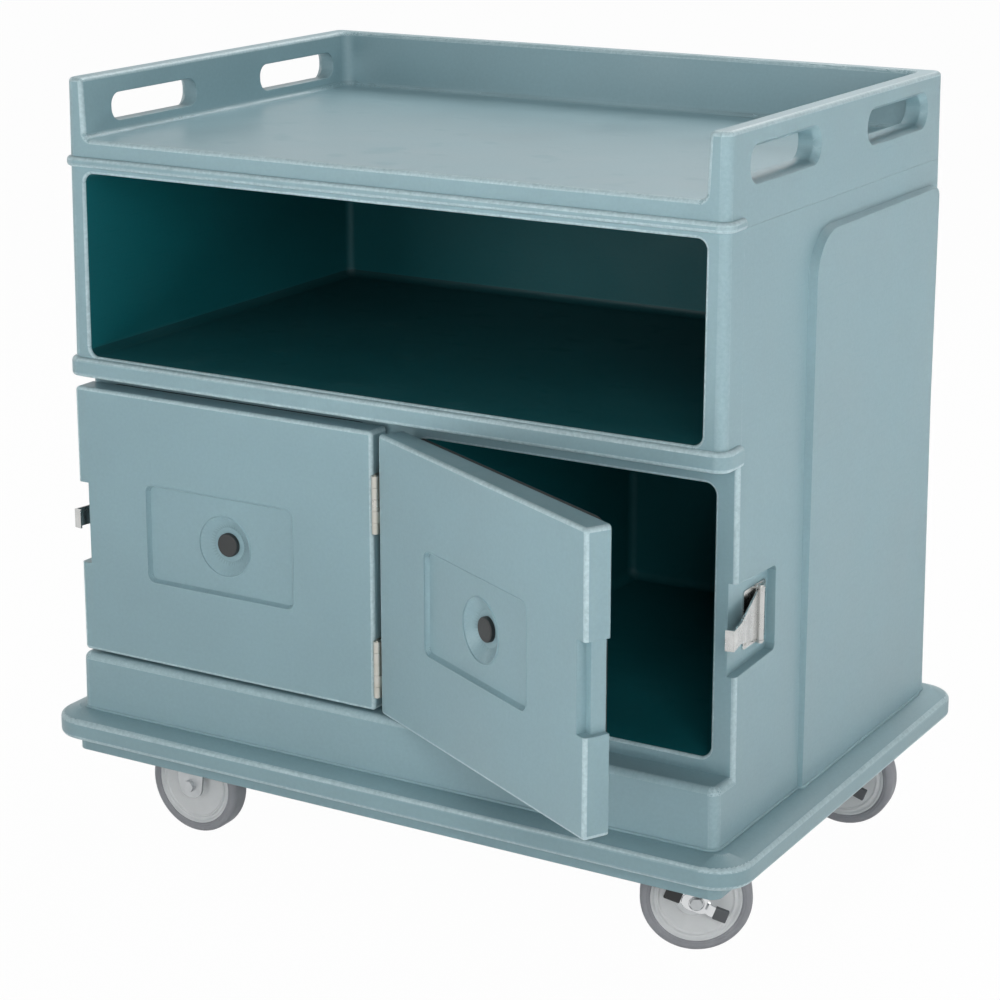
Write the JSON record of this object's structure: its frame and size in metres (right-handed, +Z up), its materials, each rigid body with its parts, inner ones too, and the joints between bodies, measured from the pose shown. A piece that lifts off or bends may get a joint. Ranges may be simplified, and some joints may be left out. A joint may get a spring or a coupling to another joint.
{
  "type": "beverage cart",
  "caption": "Insulated moulded beverage cart with a railed top tray, an open compartment, hinged doors with side latches, a bumper base and rolling casters.",
  "frame": {"origin": "on the floor, under the middle of the cabinet", "axes": "+Z up, front with the doors towards -Y, +X to the right end with the swivel casters"},
  "size_m": [1.1244, 0.9873, 1.13],
  "materials": {
    "body_plastic": "moulded slate-blue polyethylene, faintly mottled, low sheen",
    "insulation_foam": "rigid foam, sealed inside the walls",
    "seal_rubber": "matt black seal",
    "vent_plastic": "black, moulded",
    "hinge_steel": "stainless",
    "latch_steel": "bright stainless",
    "fastener_steel": "zinc plated",
    "caster_zinc": "bright zinc",
    "pedal_chrome": "polished plate",
    "hub_plastic": "light grey",
    "tyre_rubber": "grey non-marking rubber"
  },
  "bodies": {
    "cabinet": {"cabinet_shell": "body_plastic", "cabinet_foam": "insulation_foam", "top_tray": "body_plastic", "base_moulding": "body_plastic", "hinge_body_leaves": "hinge_steel", "hinge_pins": "hinge_steel", "hinge_body_screws": "fastener_steel", "left_latch_base": "latch_steel", "left_latch_pin": "latch_steel", "left_latch_screws": "fastener_steel", "right_latch_base": "latch_steel", "right_latch_pin": "latch_steel", "right_latch_screws": "fastener_steel", "caster_bolts": "fastener_steel", "front_left_fork": "caster_zinc", "front_left_axle": "fastener_steel", "front_left_axle_sleeve": "fastener_steel", "back_left_fork": "caster_zinc", "back_left_axle": "fastener_steel", "back_left_axle_sleeve": "fastener_steel", "front_right_swivel_plate": "caster_zinc", "front_right_kingpin": "fastener_steel", "back_right_swivel_plate": "caster_zinc", "back_right_kingpin": "fastener_steel"},
    "left_door": {"left_door_shell": "body_plastic", "left_door_foam": "insulation_foam", "left_door_gasket": "seal_rubber", "left_door_leaves": "hinge_steel", "left_door_leaf_screws": "fastener_steel"},
    "left_vent": {"left_vent_plug": "vent_plastic"},
    "left_latch": {"left_latch_hook": "latch_steel"},
    "right_door": {"right_door_shell": "body_plastic", "right_door_foam": "insulation_foam", "right_door_gasket": "seal_rubber", "right_door_leaves": "hinge_steel", "right_door_leaf_screws": "fastener_steel"},
    "right_vent": {"right_vent_plug": "vent_plastic"},
    "right_latch": {"right_latch_hook": "latch_steel"},
    "front_right_swivel": {"front_right_fork": "caster_zinc", "front_right_swivel_balls": "fastener_steel", "front_right_axle": "fastener_steel", "front_right_axle_sleeve": "fastener_steel"},
    "front_right_brake": {"front_right_brake_pedal": "pedal_chrome"},
    "back_right_swivel": {"back_right_fork": "caster_zinc", "back_right_swivel_balls": "fastener_steel", "back_right_axle": "fastener_steel", "back_right_axle_sleeve": "fastener_steel"},
    "back_right_brake": {"back_right_brake_pedal": "pedal_chrome"},
    "front_left_wheel": {"front_left_wheel_hub": "hub_plastic", "front_left_tyre": "tyre_rubber"},
    "back_left_wheel": {"back_left_wheel_hub": "hub_plastic", "back_left_tyre": "tyre_rubber"},
    "front_right_wheel": {"front_right_wheel_hub": "hub_plastic", "front_right_tyre": "tyre_rubber"},
    "back_right_wheel": {"back_right_wheel_hub": "hub_plastic", "back_right_tyre": "tyre_rubber"}
  },
  "joints": [
    {"name": "left_door_hinge", "type": "hinge", "parent": "cabinet", "child": "left_door", "pos_m": [0, -0.351, 0.489], "axis": [0, 0, 1], "range_deg": [0, 90]},
    {"name": "right_door_hinge", "type": "hinge", "parent": "cabinet", "child": "right_door", "pos_m": [0, -0.351, 0.489], "axis": [0, 0, -1], "range_deg": [-28, 62]},
    {"name": "left_latch_swing", "type": "hinge", "parent": "cabinet", "child": "left_latch", "pos_m": [-0.51285, -0.223, 0.485], "axis": [0, 0, -1], "range_deg": [-10, 60]},
    {"name": "right_latch_swing", "type": "hinge", "parent": "cabinet", "child": "right_latch", "pos_m": [0.51285, -0.223, 0.485], "axis": [0, 0, 1], "range_deg": [-10, 60]},
    {"name": "left_vent_slide", "type": "slide", "parent": "left_door", "child": "left_vent", "axis": [0, -1, 0], "range_m": [0, 0.004]},
    {"name": "right_vent_slide", "type": "slide", "parent": "right_door", "child": "right_vent", "axis": [-0.4695, -0.8829, 0], "range_m": [0, 0.004]},
    {"name": "front_left_wheel_spin", "type": "hinge", "parent": "cabinet", "child": "front_left_wheel", "pos_m": [-0.382, -0.256, 0.0762], "axis": [0, 1, 0], "continuous": true},
    {"name": "back_left_wheel_spin", "type": "hinge", "parent": "cabinet", "child": "back_left_wheel", "pos_m": [-0.382, 0.256, 0.0762], "axis": [0, 1, 0], "continuous": true},
    {"name": "front_right_swivel_turn", "type": "hinge", "parent": "cabinet", "child": "front_right_swivel", "pos_m": [0.4, -0.256, 0.17], "axis": [0, 0, 1], "continuous": true},
    {"name": "front_right_wheel_spin", "type": "hinge", "parent": "front_right_swivel", "child": "front_right_wheel", "pos_m": [0.43564, -0.23784, 0.0762], "axis": [-0.454, 0.891, 0], "continuous": true},
    {"name": "front_right_brake_rock", "type": "hinge", "parent": "front_right_swivel", "child": "front_right_brake", "pos_m": [0.43564, -0.23784, 0.0762], "axis": [-0.454, 0.891, 0], "range_deg": [-10, 20]},
    {"name": "back_right_swivel_turn", "type": "hinge", "parent": "cabinet", "child": "back_right_swivel", "pos_m": [0.4, 0.256, 0.17], "axis": [0, 0, 1], "continuous": true},
    {"name": "back_right_wheel_spin", "type": "hinge", "parent": "back_right_swivel", "child": "back_right_wheel", "pos_m": [0.43978, 0.26018, 0.0762], "axis": [-0.1045, 0.9945, 0], "continuous": true},
    {"name": "back_right_brake_rock", "type": "hinge", "parent": "back_right_swivel", "child": "back_right_brake", "pos_m": [0.43978, 0.26018, 0.0762], "axis": [-0.1045, 0.9945, 0], "range_deg": [-10, 20]}
  ]
}
